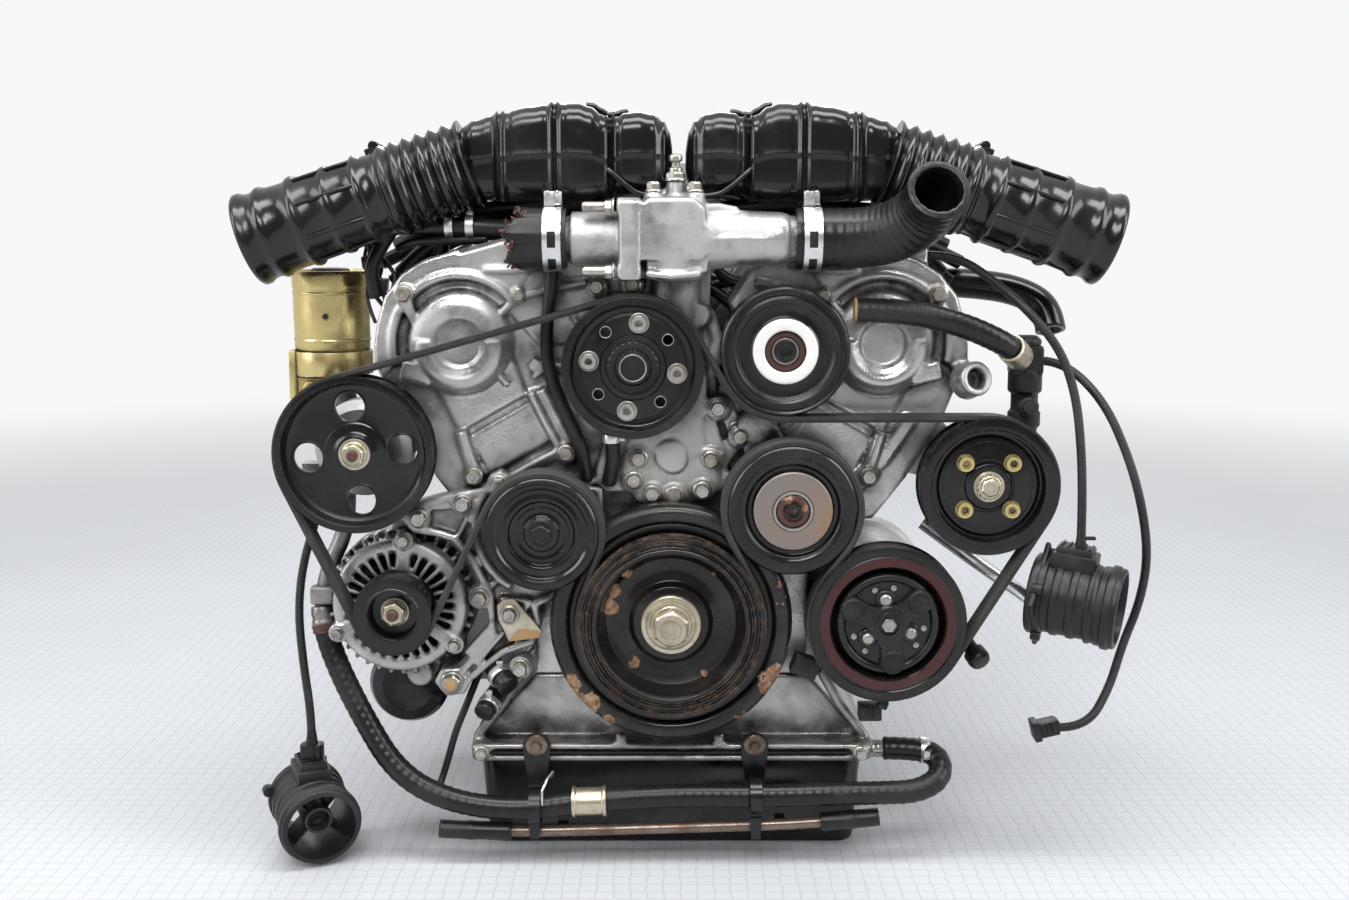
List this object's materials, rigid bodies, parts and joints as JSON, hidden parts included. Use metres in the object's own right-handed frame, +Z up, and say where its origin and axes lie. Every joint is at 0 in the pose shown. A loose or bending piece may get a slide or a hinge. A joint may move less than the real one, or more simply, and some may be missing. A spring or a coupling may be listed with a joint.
{
  "type": "v-twelve engine",
  "caption": "V engine with narrow bank angle, cast covers, twin intake ducts and a single ribbed belt that drives its front accessories.",
  "frame": {"origin": "on the crank axis at the rear face of the drive plate", "axes": "+Y along the crank towards the gearbox, +X to the right of a viewer who faces the pulleys, +Z up between the banks"},
  "size_m": [0.7832, 0.7622, 0.66],
  "materials": {
    "cast_block": "grimy as-cast",
    "cast_cover": "oily as-cast",
    "cast_bright": "clean sand-cast",
    "black_steel": "worn black paint",
    "pulley_black": "oily black coating",
    "bare_steel": "machined, oiled",
    "zinc": "yellow zinc plate",
    "gold_zinc": "gold passivated zinc plate",
    "iron": "bare, rust-stained",
    "belt": "ribbed EPDM",
    "hose_rubber": "oily moulded rubber",
    "damper_rubber": "moulded rubber",
    "gloss_black": "oiled black nylon",
    "matte_black": "moulded black nylon",
    "conduit": "convoluted conduit"
  },
  "bodies": {
    "root": {"engine_block": "cast_block", "cylinder_head_left": "cast_block", "cylinder_head_right": "cast_block", "cam_cover_left": "cast_bright", "cam_cover_right": "cast_bright", "timing_cover_left": "cast_cover", "timing_cover_right": "cast_cover", "front_cover": "cast_cover", "upper_oil_pan": "cast_cover", "oil_sump": "black_steel", "water_pump_housing": "cast_cover", "water_outlet": "cast_bright", "radiator_hose_left": "hose_rubber", "radiator_hose_right": "hose_rubber", "hose_clamps": "bare_steel", "air_duct_left": "gloss_black", "air_duct_right": "gloss_black", "air_box_left": "gloss_black", "air_box_right": "gloss_black", "intake_manifold": "cast_bright", "throttle_body_left": "cast_bright", "throttle_body_right": "cast_bright", "alternator_housing": "cast_bright", "accessory_bracket": "cast_cover", "steering_pump": "cast_bright", "fluid_reservoir": "gold_zinc", "hydraulic_pump": "cast_bright", "ac_compressor": "cast_bright", "tensioner_arm": "cast_cover", "cover_bolts": "zinc", "drive_belt": "belt", "oil_filter": "black_steel", "cooler_hose": "hose_rubber", "cooler_pipe": "bare_steel", "heater_hose": "hose_rubber", "hose_brackets": "black_steel", "harness_left": "conduit", "harness_right": "conduit", "harness_sensor": "conduit", "airflow_meter_left": "matte_black", "airflow_meter_right": "matte_black", "sensor_plug": "matte_black"},
    "crank": {"crankshaft": "bare_steel", "crank_pulley": "iron", "damper_rubber": "damper_rubber", "damper_ring": "iron", "crank_bolt": "zinc", "drive_plate": "bare_steel"},
    "fan_pulley": {"fan_pulley": "pulley_black"},
    "alternator_rotor": {"alternator_pulley": "pulley_black"},
    "steering_pulley": {"steering_pulley": "pulley_black"},
    "hydraulic_pulley": {"hydraulic_pulley": "pulley_black"},
    "compressor_pulley": {"compressor_pulley": "pulley_black"},
    "clutch_plate": {"clutch_plate": "pulley_black"},
    "upper_idler": {"upper_idler": "pulley_black"},
    "left_idler": {"left_idler": "pulley_black"},
    "tensioner_pulley": {"tensioner_pulley": "pulley_black"},
    "throttle_left": {"throttle_plate_left": "bare_steel"},
    "throttle_right": {"throttle_plate_right": "bare_steel"},
    "filler_cap": {"oil_filler_cap": "matte_black"}
  },
  "joints": [
    {"name": "crank_spin", "type": "hinge", "parent": "root", "child": "crank", "pos_m": [0, -0.69, 0], "axis": [0, 1, 0], "continuous": true},
    {"name": "fan_pulley_spin", "type": "hinge", "parent": "root", "child": "fan_pulley", "pos_m": [-0.0316, -0.69, 0.2208], "axis": [0, 1, 0], "continuous": true},
    {"name": "alternator_rotor_spin", "type": "hinge", "parent": "root", "child": "alternator_rotor", "pos_m": [-0.237, -0.69, 0.0097], "axis": [0, 1, 0], "continuous": true},
    {"name": "steering_pulley_spin", "type": "hinge", "parent": "root", "child": "steering_pulley", "pos_m": [-0.266, -0.69, 0.1476], "axis": [0, 1, 0], "continuous": true},
    {"name": "hydraulic_pulley_spin", "type": "hinge", "parent": "root", "child": "hydraulic_pulley", "pos_m": [0.2674, -0.69, 0.1205], "axis": [0, 1, 0], "continuous": true},
    {"name": "compressor_pulley_spin", "type": "hinge", "parent": "root", "child": "compressor_pulley", "pos_m": [0.1849, -0.69, 0.0023], "axis": [0, 1, 0], "continuous": true},
    {"name": "clutch_plate_spin", "type": "hinge", "parent": "root", "child": "clutch_plate", "pos_m": [0.1849, -0.69, 0.0023], "axis": [0, 1, 0], "continuous": true},
    {"name": "upper_idler_spin", "type": "hinge", "parent": "root", "child": "upper_idler", "pos_m": [0.095, -0.69, 0.2345], "axis": [0, 1, 0], "continuous": true},
    {"name": "left_idler_spin", "type": "hinge", "parent": "root", "child": "left_idler", "pos_m": [-0.1095, -0.69, 0.0795], "axis": [0, 1, 0], "continuous": true},
    {"name": "tensioner_pulley_spin", "type": "hinge", "parent": "root", "child": "tensioner_pulley", "pos_m": [0.1029, -0.69, 0.1], "axis": [0, 1, 0], "continuous": true},
    {"name": "throttle_left_turn", "type": "hinge", "parent": "root", "child": "throttle_left", "pos_m": [-0.055, -0.458, 0.392], "axis": [0, 0, 1], "range_deg": [0, 80], "stiffness_Nm_per_rad": 0.05, "springref_deg": -11.46},
    {"name": "throttle_right_turn", "type": "hinge", "parent": "root", "child": "throttle_right", "pos_m": [0.069, -0.458, 0.392], "axis": [0, 0, 1], "range_deg": [0, 80], "stiffness_Nm_per_rad": 0.05, "springref_deg": -11.46},
    {"name": "filler_cap_turn", "type": "hinge", "parent": "root", "child": "filler_cap", "pos_m": [-0.212, -0.456, 0.2933], "axis": [-0.5, 0, 0.866], "range_deg": [0, 90]}
  ],
  "couplings": [
    {"joint": "fan_pulley_spin", "follows": "crank_spin", "ratio": 1.3422},
    {"joint": "alternator_rotor_spin", "follows": "crank_spin", "ratio": 2.3578},
    {"joint": "steering_pulley_spin", "follows": "crank_spin", "ratio": 1.2018},
    {"joint": "hydraulic_pulley_spin", "follows": "crank_spin", "ratio": 1.372},
    {"joint": "compressor_pulley_spin", "follows": "crank_spin", "ratio": 1.1929},
    {"joint": "clutch_plate_spin", "follows": "crank_spin", "ratio": 1.1929},
    {"joint": "upper_idler_spin", "follows": "crank_spin", "ratio": -1.4383},
    {"joint": "left_idler_spin", "follows": "crank_spin", "ratio": -1.5952},
    {"joint": "tensioner_pulley_spin", "follows": "crank_spin", "ratio": -1.413},
    {"joint": "throttle_right_turn", "follows": "throttle_left_turn", "ratio": 1}
  ]
}
